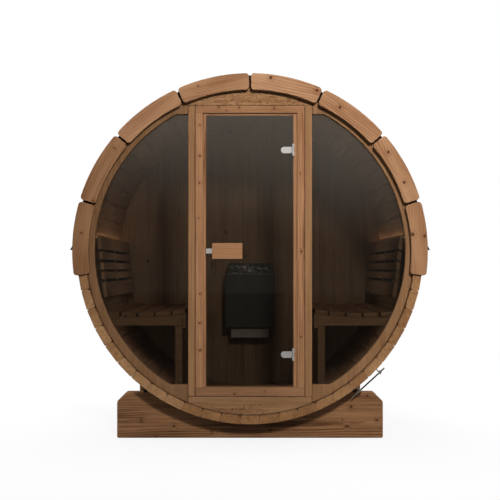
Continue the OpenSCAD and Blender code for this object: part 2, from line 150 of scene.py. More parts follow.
class Shading:
    """A node tree being built: a material's with its one Principled shader, or the world's."""

    def __init__(self, tree):
        self.tree = tree

    @classmethod
    def material(cls, name, **constants):
        made = bpy.data.materials.new(name)
        made.use_nodes = True
        finish = cls(made.node_tree)
        finish.made = made
        finish.shader = finish.tree.nodes["Principled BSDF"]
        for socket, value in constants.items():
            finish.shader.inputs[socket.replace("_", " ")].default_value = value
        return finish

    def node(self, kind, settings=None, values=None):
        node = self.tree.nodes.new(kind)
        for key, value in (settings or {}).items():
            setattr(node, key, value)
        for key, value in (values or {}).items():
            self.feed(node.inputs[key], value)
        return node

    def feed(self, socket, value):
        if isinstance(value, Field):
            self.tree.links.new(value.socket, socket)
        elif isinstance(value, bpy.types.NodeSocket):
            self.tree.links.new(value, socket)
        else:
            socket.default_value = value

    def give(self, **fields):
        """Feeds varying values to the shader's sockets."""
        for socket, value in fields.items():
            self.feed(self.shader.inputs[socket.replace("_", " ")], value)
        return self.made

    def place(self):
        return self.node("ShaderNodeTexCoord").outputs["Object"]

    def attribute(self, name):
        return self.node("ShaderNodeAttribute", {"attribute_name": name})

    def ray(self, kind):
        return Field(self, self.node("ShaderNodeLightPath").outputs[f"Is {kind} Ray"])

    def vector(self, operation, *terms):
        node = self.node("ShaderNodeVectorMath", {"operation": operation}, dict(enumerate(terms)))
        return node.outputs["Vector"]

    def length(self, vector):
        node = self.node("ShaderNodeVectorMath", {"operation": "LENGTH"}, {0: vector})
        return Field(self, node.outputs["Value"])

    def split(self, vector):
        node = self.node("ShaderNodeSeparateXYZ", None, {0: vector})
        return [Field(self, output) for output in node.outputs]

    def noise(self, vector, scales, detail=2.0, rough=0.5):
        stretched = self.vector("MULTIPLY", vector, scales)
        values = {"Vector": stretched, "Scale": 1.0, "Detail": detail, "Roughness": rough}
        return Field(self, self.node("ShaderNodeTexNoise", None, values).outputs[0])

    def blend(self, factor, first, second):
        """The first colour where the factor is 0, the second where it is 1."""
        node = self.node("ShaderNodeMix", {"data_type": "RGBA"}, {0: factor})
        self.feed(node.inputs[6], first)
        self.feed(node.inputs[7], second)
        return node.outputs[2]

    def shade(self, colour, amount):
        """Colour made lighter or darker by a field round 1."""
        node = self.node("ShaderNodeVectorMath", {"operation": "SCALE"}, {0: colour, "Scale": amount})
        return node.outputs["Vector"]

    def bump(self, height, depth, strength=1.0):
        node = self.node("ShaderNodeBump", None, {"Height": height, "Strength": strength, "Distance": depth})
        return node.outputs["Normal"]


def rgb(red, green, blue):
    return (red, green, blue, 1.0)


# ---------------------------------------------------------------- finishes


def wood(
    name,
    pale,
    dark,
    contrast=1.0,
    knots=0.3,
    knot_r=0.006,
    ring=0.009,
    curl=0.004,
    wave=3.5,
    tones=0.2,
    ruddy=0.0,
    patchy=0.9,
    lines=1.0,
    spots=(),
    depth=0.0,
):
    """Heat-treated softwood. 'grain' holds each board's own coordinates, x across it, y along it and
    z through it, and 'tone' is a number for each board, which is darker and redder where it is low.
    Spots are knots at chosen places, as x, z and radius on pieces whose face is at y = depth."""
    finish = Shading.material(name, Specular_IOR_Level=0.22)
    grain = finish.attribute("grain").outputs["Vector"]
    tone = Field(finish, finish.attribute("tone").outputs["Fac"])
    across, _, through = finish.split(grain)

    # Scattered knots sit in long cells, a share of which are empty
    cell = (0.085, 0.30, 0.16)
    in_cell = finish.vector("DIVIDE", grain, cell)
    scatter = finish.node(
        "ShaderNodeTexVoronoi", {"feature": "F1"}, {"Vector": in_cell, "Scale": 1.0, "Randomness": 0.9}
    )
    offset = finish.vector("SUBTRACT", scatter.outputs["Position"], in_cell)
    reach = finish.length(finish.vector("MULTIPLY", offset, (cell[0], cell[1] * 0.75, cell[2] * 0.35)))
    chance, size, _ = finish.split(scatter.outputs["Color"])
    near = reach / (knot_r * (size * 0.9 + 0.55)) + (chance < 1 - knots) * 50
    place = finish.place()
    for x, z, radius in spots:
        away = finish.vector("SUBTRACT", place, (x, depth, z))
        away = finish.vector("MULTIPLY", away, (1, 0.1, 1))
        near = near.least(finish.length(away) / radius)
    ragged = finish.noise(grain, (160, 60, 160), 2.0)
    near = near * (0.65 + ragged * 0.35)
    core = 1 - near.smooth(0.6, 1.15)
    rim = near.smooth(0.7, 1.3) * (1 - near.smooth(1.3, 2.4))
    halo = 1 - near.smooth(0.8, 3.6)

    # Growth rings round a pith line beside the board, bent by the knots
    wander = finish.noise(grain, (5, 0.9, 5), 2.0)
    sway = finish.noise(grain, (26, wave, 26), 2.0)
    middle_x, middle_z = 0.045, -0.075
    ring_r = ((across - middle_x) ** 2 + (through - middle_z) ** 2) ** 0.5
    ring_r = ring_r + wander * 0.055 + sway * curl + halo * 0.005
    phase = (ring_r / ring).fract()
    late = phase.smooth(0.35, 0.88) * (1 - phase.smooth(0.90, 1.0))

    broad = finish.noise(grain, (48, 1.6, 48), 2.0, 0.5)
    streaks = finish.noise(grain, (120, 3.2, 120), 3.0, 0.6)
    fibres = finish.noise(grain, (420, 14, 420), 2.0)
    blotches = finish.noise(grain, (9, 1.8, 9), 2.0)

    strength = blotches.smooth(0.35, 0.65) * 0.40 + 0.08
    mixed = (late - 0.35) * strength + (broad - 0.5) * 0.8 * lines + (streaks - 0.5) * lines
    mixed = mixed + (fibres - 0.5) * 0.5
    mixed = 0.42 + (mixed + (blotches - 0.5) * patchy) * contrast + halo * 0.22 - rim * 0.12
    colour = finish.blend(mixed.most(0.0).least(1.0), rgb(*pale), rgb(*dark))
    redder = finish.vector("MULTIPLY", colour, (1.0, 1 - ruddy, 1 - 2 * ruddy))
    colour = finish.blend(1 - tone, colour, redder)
    colour = finish.shade(colour, 1 - tones / 2 + tone * tones)
    knot_brown = rgb(0.055, 0.019, 0.009)
    colour = finish.blend(core * 0.88, colour, knot_brown)
    height = late * 0.35 + fibres * 0.5 + streaks * 0.5 - core * 1.2
    return finish.give(
        Base_Color=colour,
        Roughness=0.56 + fibres * 0.16 - late * 0.06,
        Normal=finish.bump(height, 0.0006, 0.6),
    )


def smoked_glass():
    """Bronze-tinted pane. Each of its two faces holds back a share of the light."""
    finish = Shading.material("smoked_glass", IOR=1.5, Alpha=0.40, Specular_IOR_Level=0.9)
    place = finish.place()
    cloud = finish.noise(place, (1.5, 1.5, 1.5), 1.0)
    tint = finish.blend(cloud, rgb(0.004, 0.0032, 0.0026), rgb(0.006, 0.005, 0.004))
    return finish.give(Base_Color=tint, Roughness=0.012 + cloud * 0.012)


def metal(name, colour, rough, scratch=0.08):
    """Bare or plated metal with fine scratches and slight staining."""
    finish = Shading.material(name, Metallic=1.0)
    place = finish.place()
    scratches = finish.noise(place, (900, 900, 90), 2.0)
    stains = finish.noise(place, (14, 14, 14), 3.0)
    dull = tuple(0.72 * part for part in colour)
    worn = finish.blend(stains.smooth(0.35, 0.75) * 0.6, rgb(*colour), rgb(*dull))
    return finish.give(
        Base_Color=worn,
        Roughness=rough + (scratches - 0.5) * scratch * 2 + (stains - 0.5) * 0.08,
        Normal=finish.bump(scratches, 0.00004, 0.5),
    )


def coated(name, colour, rough, grain_size=0.0009, shine=0.4):
    """Powder coat, rubber or painted sheet: a fine even texture and faint dust."""
    finish = Shading.material(name, Specular_IOR_Level=shine)
    place = finish.place()
    pebble = finish.noise(place, (1 / grain_size,) * 3, 2.0)
    dust = finish.noise(place, (6, 6, 3), 4.0, 0.6)
    dusty = tuple(part * 1.25 + 0.001 for part in colour)
    shade = finish.blend(dust.smooth(0.45, 0.8), rgb(*colour), rgb(*dusty))
    return finish.give(
        Base_Color=shade,
        Roughness=rough + (pebble - 0.5) * 0.12 + (dust - 0.5) * 0.1,
        Normal=finish.bump(pebble, 0.00003, 0.6),
    )


def bitumen():
    """Mineral granules on bitumen shingle, a little different on each tab."""
    finish = Shading.material("roof_bitumen", Specular_IOR_Level=0.2)
    place = finish.place()
    tone = Field(finish, finish.attribute("tone").outputs["Fac"])
    granules = finish.node("ShaderNodeTexVoronoi", None, {"Vector": place, "Scale": 420.0})
    grit, _, _ = finish.split(granules.outputs["Color"])
    weather = finish.noise(place, (5, 5, 5), 4.0, 0.6)
    colour = finish.blend(grit, rgb(0.010, 0.010, 0.011), rgb(0.060, 0.058, 0.056))
    colour = finish.shade(colour, 0.65 + tone * 0.35 + weather * 0.35)
    return finish.give(
        Base_Color=colour, Roughness=0.82 + grit * 0.12, Normal=finish.bump(grit, 0.0009, 0.8)
    )


def heater_stone():
    """Grey split olivine with paler veins and dark pits."""
    finish = Shading.material("heater_stone", Specular_IOR_Level=0.3)
    place = finish.place()
    tone = Field(finish, finish.attribute("tone").outputs["Fac"])
    patches = finish.noise(place, (40, 40, 40), 4.0, 0.6)
    pits = finish.noise(place, (260, 260, 260), 3.0, 0.6)
    colour = finish.blend(patches.smooth(0.3, 0.7), rgb(0.060, 0.056, 0.048), rgb(0.40, 0.37, 0.31))
    colour = finish.shade(colour, 0.35 + tone * tone * 1.1)
    return finish.give(
        Base_Color=colour,
        Roughness=0.72 + pits * 0.2,
        Normal=finish.bump(patches + pits * 0.4, 0.002, 0.7),
    )


def warm_light():
    """Lit diffuser of a strip light, brighter over each of its lamps."""
    finish = Shading.material("warm_light", Roughness=0.4, Emission_Strength=12.5)
    place = finish.place()
    _, along, _ = finish.split(place)
    lamp = (along * 60).fract() - 0.5
    glow = 1 - lamp.absolute() * 0.6
    colour = finish.blend(glow, rgb(0.50, 0.28, 0.14), rgb(0.92, 0.60, 0.35))
    return finish.give(Base_Color=colour, Emission_Color=colour)


FASCIA_KNOTS = (
    (0.120, 2.108, 0.009),
    (0.385, 2.034, 0.008),
    (0.518, 1.936, 0.008),
    (0.797, 1.678, 0.008),
    (0.888, 1.504, 0.008),
    (0.936, 1.204, 0.010),
    (1.006, 1.194, 0.008),
    (-0.906, 1.399, 0.005),
    (-0.971, 1.212, 0.006),
    (-0.300, 2.060, 0.004),
    (-0.780, 1.700, 0.005),
)
CASING_KNOTS = (
    (-0.292, 1.840, 0.005),
    (-0.291, 1.663, 0.007),
    (-0.294, 1.505, 0.006),
    (-0.300, 1.300, 0.004),
    (-0.291, 0.860, 0.005),
    (-0.292, 0.690, 0.006),
    (-0.290, 0.532, 0.007),
    (0.297, 1.107, 0.006),
    (0.291, 1.560, 0.004),
    (0.300, 0.610, 0.004),
    (-0.182, 1.944, 0.005),
    (-0.137, 1.926, 0.004),
    (-0.063, 1.944, 0.005),
    (0.140, 1.938, 0.005),
    (-0.090, 0.278, 0.006),
    (0.085, 0.294, 0.004),
)
CRADLE_KNOTS = (
    (0.601, 0.185, 0.008),
    (0.577, 0.069, 0.007),
    (0.753, 0.107, 0.006),
    (0.549, 0.107, 0.004),
    (0.697, 0.252, 0.005),
    (-0.646, 0.107, 0.006),
    (-0.452, 0.071, 0.007),
    (-0.561, 0.004, 0.008),
    (-0.228, 0.040, 0.005),
    (0.120, 0.045, 0.005),
)

STAVE_WOOD = wood("stave_wood", (0.40, 0.245, 0.135), (0.155, 0.072, 0.032), knots=0.22, tones=0.34)
STAVE_ENDS = wood(
    "stave_end_wood",
    (0.385, 0.218, 0.102),
    (0.165, 0.080, 0.036),
    contrast=1.2,
    knots=0.0,
    ring=0.007,
    tones=0.40,
    ruddy=0.12,
)
# Near-black painted shade for stave ends under the fascia, slat sides between slats and backrest brackets
# behind the first, where only shade falls
SHADE_BLACK = coated("painted_shade_black", (0.012, 0.009, 0.007), 0.85, 0.002, shine=0.1)
FASCIA_WOOD = wood(
    "fascia_wood",
    (0.455, 0.277, 0.160),
    (0.165, 0.066, 0.028),
    contrast=0.70,
    knots=0.10,
    ring=0.013,
    curl=0.012,
    tones=0.80,
    ruddy=0.16,
    patchy=2.2,
    lines=0.5,
    spots=FASCIA_KNOTS,
    depth=-0.900,
)
WALL_WOOD = wood(
    "wall_wood",
    (0.325, 0.175, 0.083),
    (0.150, 0.070, 0.030),
    contrast=0.85,
    knots=0.0,
    curl=0.010,
    tones=0.50,
)
CURLY_WOOD = wood(
    "curly_wood",
    (0.31, 0.172, 0.084),
    (0.150, 0.070, 0.030),
    contrast=1.5,
    knots=0.08,
    ring=0.011,
    curl=0.060,
    wave=15,
    tones=0.50,
)
CASING_WOOD = wood(
    "casing_wood",
    (0.44, 0.229, 0.114),
    (0.175, 0.072, 0.030),
    knots=0.0,
    tones=0.80,
    spots=CASING_KNOTS,
    depth=-0.842,
)
CRADLE_WOOD = wood(
    "cradle_wood", (0.37, 0.187, 0.086), (0.085, 0.033, 0.013), knots=0.10, spots=CRADLE_KNOTS, depth=-0.700
)
BENCH_WOOD = wood("bench_wood", (0.40, 0.225, 0.110), (0.17, 0.080, 0.034), contrast=0.9, knots=0.15)
LINING_WOOD = wood(
    "lining_wood",
    (0.335, 0.200, 0.104),
    (0.105, 0.046, 0.019),
    contrast=0.6,
    knots=0.45,
    knot_r=0.009,
    tones=0.40,
)
HANDLE_WOOD = wood("handle_wood", (0.37, 0.194, 0.097), (0.20, 0.088, 0.038), contrast=0.7, knots=0.0)
GLASS = smoked_glass()
CHROME = metal("chrome", (0.68, 0.71, 0.79), 0.40)
ZINC = metal("zinc_steel", (0.46, 0.48, 0.50), 0.36, 0.12)
BAND_STEEL = metal("band_steel", (0.12, 0.115, 0.11), 0.42, 0.12)
HEATER_STEEL = coated("heater_steel", (0.31, 0.285, 0.205), 0.50)
HEATER_PAINT = coated("heater_paint", (0.043, 0.047, 0.036), 0.55)
# A painted highlight along the heater's front lip
LIP_HIGHLIGHT = coated("painted_lip_highlight", (0.17, 0.155, 0.125), 0.50)
BLACK_METAL = coated("black_metal", (0.006, 0.006, 0.006), 0.62, shine=0.1)
RUBBER = coated("black_rubber", (0.008, 0.008, 0.008), 0.80, 0.002)
ROOF = bitumen()
STONE = heater_stone()
LIGHT = warm_light()
ALUMINIUM = metal("strip_aluminium", (0.45, 0.45, 0.46), 0.4)

# ---------------------------------------------------------------- modelling toolkit


def alone(piece):
    """Leaves only this piece selected, in object mode."""
    if bpy.context.mode != "OBJECT":
        bpy.ops.object.mode_set(mode="OBJECT")
    bpy.ops.object.select_all(action="DESELECT")
    piece.select_set(True)
    bpy.context.view_layer.objects.active = piece
    return piece


def clear_selection():
    if bpy.context.mode != "OBJECT":
        bpy.ops.object.mode_set(mode="OBJECT")
    bpy.ops.object.select_all(action="DESELECT")


def block(name, low, high):
    """A box between two corners, as the start of a piece."""
    clear_selection()
    low, high = Vector(low), Vector(high)
    bpy.ops.mesh.primitive_cube_add(size=1, location=(low + high) / 2)
    piece = bpy.context.object
    piece.name = name
    piece.scale = high - low
    bpy.ops.object.transform_apply(location=True, rotation=True, scale=True)
    return piece


def pick(piece, kind, test):
    """Enters edit mode with the vertices, edges or faces selected that pass the test."""
    alone(piece)
    bpy.ops.object.mode_set(mode="EDIT")
    bpy.ops.mesh.select_mode(type=kind)
    bpy.ops.mesh.select_all(action="DESELECT")
    bpy.ops.object.mode_set(mode="OBJECT")
    mesh = piece.data
    if kind == "VERT":
        for vertex in mesh.vertices:
            vertex.select = test(vertex.co)
    elif kind == "EDGE":
        for edge in mesh.edges:
            first, second = (mesh.vertices[index].co for index in edge.vertices)
            edge.select = test(first, second)
    else:
        for face in mesh.polygons:
            face.select = test(face.center, face.normal)
    bpy.ops.object.mode_set(mode="EDIT")


def done():
    bpy.ops.object.mode_set(mode="OBJECT")


def cut(piece, point, normal, keep_both=True):
    """Cuts the piece by a plane. Without keep_both, what lies on the normal's side goes."""
    pick(piece, "FACE", lambda centre, facing: True)
    bpy.ops.mesh.bisect(
        plane_co=point, plane_no=normal, use_fill=not keep_both, clear_outer=not keep_both, clear_inner=False
    )
    done()


def ease(piece, width, segments=2, angle=35):
    """Rounds every sharp edge a little, with the broad faces still shaded flat."""
    alone(piece)
    bevel = piece.modifiers.new("ease", "BEVEL")
    bevel.width = width
    bevel.segments = segments
    bevel.limit_method = "ANGLE"
    bevel.angle_limit = math.radians(angle)
    bevel.use_clamp_overlap = True
    bpy.ops.object.modifier_apply(modifier="ease")
    bpy.ops.object.shade_smooth_by_angle(angle=math.radians(40))
    even = piece.modifiers.new("even", "WEIGHTED_NORMAL")
    even.weight = 100
    even.keep_sharp = True
    bpy.ops.object.modifier_apply(modifier="even")
    return piece


def outward(piece):
    """Merges doubled vertices and turns every face outwards."""
    pick(piece, "VERT", lambda co: True)
    bpy.ops.mesh.remove_doubles(threshold=MERGE)
    bpy.ops.mesh.normals_make_consistent(inside=False)
    done()
    return piece


def twin(piece, name, matrix=None):
    """A copy with its own mesh, moved by a matrix that is then applied."""
    other = piece.copy()
    other.data = piece.data.copy()
    other.name = name
    bpy.context.scene.collection.objects.link(other)
    if matrix is not None:
        other.matrix_world = matrix
        alone(other)
        bpy.ops.object.transform_apply(location=True, rotation=True, scale=True)
    return other


def joined(name, pieces):
    """Joins pieces into one, whose object sits at the origin."""
    alone(pieces[0])
    for piece in pieces[1:]:
        piece.select_set(True)
    bpy.ops.object.join()
    result = bpy.context.object
    result.name = name
    result.data.name = name
    return result


def cad_copy(node):
    """A copy of a CAD node's mesh, merged into whole faces, ready to be eased."""
    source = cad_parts[node]
    piece = bpy.data.objects.new(node + "_piece", source.data.copy())
    bpy.context.scene.collection.objects.link(piece)
    piece.data.materials.clear()
    pick(piece, "VERT", lambda co: True)
    bpy.ops.mesh.remove_doubles(threshold=MERGE)
    bpy.ops.mesh.dissolve_limited(angle_limit=math.radians(0.3))
    done()
    return piece


def loose_parts(mesh):
    """For each vertex, the number of the separate part that it belongs to."""
    link = list(range(len(mesh.vertices)))

    def root(index):
        while link[index] != index:
            link[index] = link[link[index]]
            index = link[index]
        return index

    for edge in mesh.edges:
        first, second = (root(index) for index in edge.vertices)
        link[first] = second
    return np.array([root(index) for index in range(len(link))])


GRAIN_AXES = {"X": (1, 0, 2), "Y": (0, 1, 2), "Z": (0, 2, 1)}


def lay_grain(piece, along, round_axis=False, through=None, tones=(), top_tone=1.0):
    """Writes each board's own coordinates to 'grain', and to 'tone' a random number or, from the left,
    the tones given. Boards set round the barrel are first turned back to the top, so that their grain
    is square to them."""
    mesh = piece.data
    points = np.zeros(len(mesh.vertices) * 3)
    mesh.vertices.foreach_get("co", points)
    points = points.reshape(-1, 3)
    parts = loose_parts(mesh)
    order = GRAIN_AXES[along]
    if along == "Z" and through == "X":
        order = (1, 2, 0)
    grain = np.zeros_like(points)
    tone = np.zeros(len(points))
    in_order = sorted(set(parts.tolist()), key=lambda part: tuple(points[parts == part].mean(0).round(4)))
    for index, part in enumerate(in_order):
        own = parts == part
        local = points[own] - points[own].mean(0)
        if round_axis:
            centre = points[own].mean(0)
            turn = math.atan2(centre[0], centre[2] - AXIS_Z)
            cos, sin = math.cos(turn), math.sin(turn)
            side = local[:, 0] * cos - local[:, 2] * sin
            out = local[:, 0] * sin + local[:, 2] * cos
            local = np.stack([side, local[:, 1], out], axis=1)
        local = local[:, order]
        shift = np.array([rng.uniform(-0.02, 0.02), rng.uniform(0, 40), rng.uniform(-0.02, 0.02)])
        grain[own] = local + shift
        tone[own] = tones[index] if tones else rng.random() * top_tone
    layers = (("grain", "FLOAT_VECTOR", "vector", grain), ("tone", "FLOAT", "value", tone))
    for name, kind, key, values in layers:
        if name in mesh.attributes:
            mesh.attributes.remove(mesh.attributes[name])
        layer = mesh.attributes.new(name, kind, "POINT")
        layer.data.foreach_set(key, np.ascontiguousarray(values, dtype=np.float32).ravel())
    return piece


def show(piece, name, material, body, slot, *nodes):
    """Names a finished piece, gives it its material and body, and hides the CAD nodes that it stands for."""
    piece.name = name
    piece.data.name = name
    piece.data.materials.clear()
    piece.data.materials.append(material)
    for face in piece.data.polygons:
        face.material_index = 0
    if nodes:
        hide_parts(*nodes)
    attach(piece, body)
    return piece


def repaint(piece, material, test):
    """Gives the faces that pass the test a second material."""
    piece.data.materials.append(material)
    for face in piece.data.polygons:
        if test(face):
            face.material_index = 1


def round_barrel(angle, y=0.0):
    """Moves what is modelled at the barrel's top, on the origin's axis, round to an angle."""
    return Matrix.Translation((0, y, AXIS_Z)) @ Matrix.Rotation(angle, 4, "Y")


# ---------------------------------------------------------------- barrel


def model_stave():
    """One stave at the top of a barrel whose axis is the Y axis, with a bead on one side and a cove on
    the other, and its sides relieved towards both faces."""
    half = STAVE_PITCH / 2
    inner = STAVE_OUT - STAVE_T
    out_w = 2 * STAVE_OUT * math.tan(half) - STAVE_GAP
    in_w = 2 * inner * math.tan(half) - STAVE_GAP
    stave = block("stave", (-out_w / 2, -STAVE_Y, inner), (out_w / 2, STAVE_Y, STAVE_OUT))
    pick(stave, "VERT", lambda co: co.z < inner + 0.001)
    bpy.ops.transform.resize(value=(in_w / out_w, 1, 1), center_override=(0, 0, inner))
    done()
    levels = (0.18, 0.22, 0.36, 0.5, 0.64, 0.78, 0.82)
    bead_half, bead_rise, relief_share = 0.28, 0.004, 0.19
    for level in levels:
        cut(stave, (0, 0, inner + STAVE_T * level), (0, 0, 1))
    for level in levels[2:-2]:
        height = inner + STAVE_T * level
        bulge = bead_rise * math.cos((level - 0.5) / bead_half * math.pi / 2)
        pick(stave, "VERT", lambda co: abs(co.z - height) < 0.001 and abs(co.x) > in_w / 2 - 0.004)
        bpy.ops.transform.translate(value=(bulge, 0, 0))
        done()
    inner_zone = inner + STAVE_T * relief_share
    outer_zone = STAVE_OUT - STAVE_T * relief_share
    reliefs = ((lambda z: z < inner_zone, 0.0014), (lambda z: z > outer_zone, 0.0008))
    for side in (-1, 1):
        for zone, shift in reliefs:
            pick(stave, "VERT", lambda co: co.x * side > 0.02 and zone(co.z))
            bpy.ops.transform.translate(value=(-side * shift, 0, 0))
            done()

    def long_corner(first, second):
        runs_along = abs(first.y - second.y) > STAVE_Y
        at_face = min(abs(first.z - inner), abs(first.z - STAVE_OUT)) < 0.0005
        return runs_along and at_face

    def end_edge(first, second):
        return abs(first.y) > STAVE_Y - 0.001 and abs(first.y - second.y) < 0.001

    pick(stave, "EDGE", long_corner)
    bpy.ops.mesh.bevel(offset=0.0042, segments=1, affect="EDGES")
    done()
    pick(stave, "EDGE", end_edge)
    bpy.ops.mesh.bevel(offset=0.0010, segments=1, affect="EDGES")
    done()
    alone(stave)
    bpy.ops.object.shade_flat()
    return stave


def build_staves():
    stave = model_stave()
    for group, (first, last) in STAVE_GROUPS.items():
        places = {index: round_barrel(index * STAVE_PITCH) for index in range(first, last + 1)}
        boards = [twin(stave, f"{group}_{index}", place) for index, place in places.items()]
        piece = joined(group + "_boards", boards)
        # The bottom staves take only low tones, which darkens them as painted shade under the barrel
        lay_grain(piece, "Y", round_axis=True, top_tone=0.3 if group == "staves_bottom" else 1.0)
        show(piece, group + "_boards", STAVE_WOOD, SHELL, "stave_wood", group)
        under_fascia = group.endswith(("top", "upper"))
        # Ends under the fascia are painted near-black: painted shade where they show between and behind the
        # fascia boards
        repaint(piece, SHADE_BLACK if under_fascia else STAVE_ENDS, lambda face: abs(face.normal.y) > 0.6)
    bpy.data.objects.remove(stave)


# How light each board is, by side from left to right, or by node
# The left boards are darker partly by their own colour and partly as painted shade, the light falling off to
# the left
FASCIA_TONES = {"left": (0.04, 0.24, 0.52, 0.40), "right": (0.66, 0.54, 0.50, 0.40)}
WALL_TONES = {
    "front_post_left": 0.62,
    "front_post_right": 0.60,
    # The side panels' low tones, the left's lowest, are painted shade: the light falling off to the left and
    # the fascia's shadow
    "front_side_left": 0.04,
    "front_side_right": 0.36,
}
CURLY_TONES = {"front_header": 0.90, "front_base": 0.42}
CASING_TONES = {
    "casing_jamb_left": 0.44,
    "casing_jamb_right": 0.42,
    "casing_head": 0.36,
    # The threshold's low tone is painted shade, low down under the door
    "casing_threshold": 0.12,
}

# How far the edges of each front wall board are rounded, which sets how wide its joints look
WALL_EASE = {
    "front_post_left": 0.007,
    "front_post_right": 0.0015,
    "front_side_left": 0.008,
    "front_side_right": 0.008,
    "front_header": 0.0015,
    "front_base": 0.006,
}


def model_fascia_board(extra=0.0):
    """One curved fascia board at the top of a barrel on the Y axis, from y = 0 back."""
    clear_selection()
    corner_r = 0.019
    trim = math.asin(FASCIA_GAP / 2 / FASCIA_IN)
    sweep = FASCIA_PITCH - 2 * trim + extra
    bpy.ops.mesh.primitive_plane_add(size=1)
    board = bpy.context.object
    edge_at = ((FASCIA_IN, -sweep / 2), (FASCIA_OUT, -sweep / 2))
    pick(board, "VERT", lambda co: co.y > 0)
    bpy.ops.mesh.delete(type="VERT")
    done()
    for vertex, (radius, angle) in zip(board.data.vertices, edge_at):
        vertex.co = (radius * math.sin(angle), 0, radius * math.cos(angle))
    pick(board, "VERT", lambda co: True)
    bpy.ops.mesh.spin(steps=14, angle=-sweep, center=(0, 0, 0), axis=(0, 1, 0))
    done()
    ends = sweep / 2 - 0.0005
    pick(board, "VERT", lambda co: abs(math.atan2(co.x, co.z)) > ends)
    bpy.ops.mesh.bevel(offset=corner_r, segments=5, affect="VERTICES")
    done()
    pick(board, "FACE", lambda centre, facing: True)
    bpy.ops.mesh.extrude_region_move(TRANSFORM_OT_translate={"value": (0, FASCIA_T, 0)})
    done()
    outward(board)
    return ease(board, 0.0035, 3)


def build_fascia():
    """Each side's boards from the top down, of which the lowest is a little longer."""
    plain = model_fascia_board()
    longer = model_fascia_board(FASCIA_LAST_EXTRA)
    kinds = [(plain, 0.0)] * (FASCIA_PER_SIDE - 1) + [(longer, FASCIA_LAST_EXTRA / 2)]
    ends = {"front": -STAVE_Y - FASCIA_T, "rear": STAVE_Y}
    for end, y in ends.items():
        for side, sign in (("right", 1), ("left", -1)):
            name = f"fascia_{end}_{side}"
            boards = []
            for index, (board, further) in enumerate(kinds):
                angle = (index + 0.5) * FASCIA_PITCH + further
                boards.append(twin(board, f"{name}_{index}", round_barrel(sign * angle, y)))
            piece = joined(name + "_boards", boards)
            lay_grain(piece, "X", round_axis=True, tones=FASCIA_TONES[side])
            show(piece, name + "_boards", FASCIA_WOOD, SHELL, "fascia_wood", name)
    bpy.data.objects.remove(plain)
    bpy.data.objects.remove(longer)


# ---------------------------------------------------------------- end walls


def build_front_wall():
    for node, tone in WALL_TONES.items():
        piece = lay_grain(ease(cad_copy(node), WALL_EASE[node]), "Z", tones=(tone,))
        show(piece, node + "_panel", WALL_WOOD, SHELL, "wall_wood", node)
    for node, tone in CURLY_TONES.items():
        piece = lay_grain(ease(cad_copy(node), WALL_EASE[node]), "X", tones=(tone,))
        show(piece, node + "_panel", CURLY_WOOD, SHELL, "wall_wood", node)
    for node, tone in CASING_TONES.items():
        along = "Z" if "jamb" in node else "X"
        piece = lay_grain(ease(cad_copy(node), 0.002), along, tones=(tone,))
        show(piece, node + "_frame", CASING_WOOD, SHELL, "casing_wood", node)
    panes = ease(cad_copy("window_panes"), 0.0008, 1)
    show(panes, "window_glass", GLASS, SHELL, "smoked_glass", "window_panes")


def build_rear_wall():
    """Upright boards with chamfered edges, cut to a round that stands in a groove in the staves. Those
    behind the left window are made lighter, and those behind the right window darker."""
    pitch = 0.1135
    groove = 0.011
    reach = 8
    sample = block("wall_board", (-pitch / 2, WALL_IN_Y, AXIS_Z - 1), (pitch / 2, WALL_OUT_Y, AXIS_Z + 1))
    pick(sample, "EDGE", lambda first, second: abs(first.z - second.z) > 1)
    bpy.ops.mesh.bevel(offset=0.0025, segments=1, affect="EDGES")
    done()
    clear_selection()
    bpy.ops.mesh.primitive_cylinder_add(
        vertices=180,
        radius=WALL_R + groove,
        depth=1,
        location=(0, WALL_OUT_Y, AXIS_Z),
        rotation=(math.pi / 2, 0, 0),
    )
    disc = bpy.context.object
    boards = []
    for index in range(-reach, reach + 1):
        board = twin(sample, f"wall_board_{index}", Matrix.Translation((index * pitch, 0, 0)))
        alone(board)
        trim = board.modifiers.new("round", "BOOLEAN")
        trim.operation = "INTERSECT"
        trim.solver = "EXACT"
        trim.object = disc
        bpy.ops.object.modifier_apply(modifier="round")
        boards.append(board)
    bpy.data.objects.remove(sample)
    bpy.data.objects.remove(disc)
    wall = joined("rear_wall_boards", boards)
    lay_grain(wall, "Z")
    light, even, dark = 0.68, 0.52, 0.20
    door_boards = 2.5
    tones = wall.data.attributes["tone"].data
    for vertex in wall.data.vertices:
        board = vertex.co.x / pitch
        tones[vertex.index].value = light if board < -door_boards else even if board < door_boards else dark
    show(wall, "rear_wall_boards", LINING_WOOD, SHELL, "wall_wood", "rear_wall")


# ---------------------------------------------------------------- door


def build_door():
    pane = ease(cad_copy("door_glass"), 0.0012, 1)
    show(pane, "door_pane", GLASS, DOOR, "smoked_glass", "door_glass")
    handle = lay_grain(ease(cad_copy("door_handle"), 0.003, 3), "X")
    show(handle, "door_handle_blocks", HANDLE_WOOD, DOOR, "handle_wood", "door_handle")
    for node, name, body in (
        ("door_latch_plate", "latch_plates", DOOR),
        ("door_hinge_leaves", "hinge_leaves", DOOR),
        ("hinge_brackets", "hinge_fixed_halves", SHELL),
    ):
        piece = ease(cad_copy(node), 0.0008, 2)
        show(piece, name, CHROME, body, "chrome", node)


# ---------------------------------------------------------------- fittings


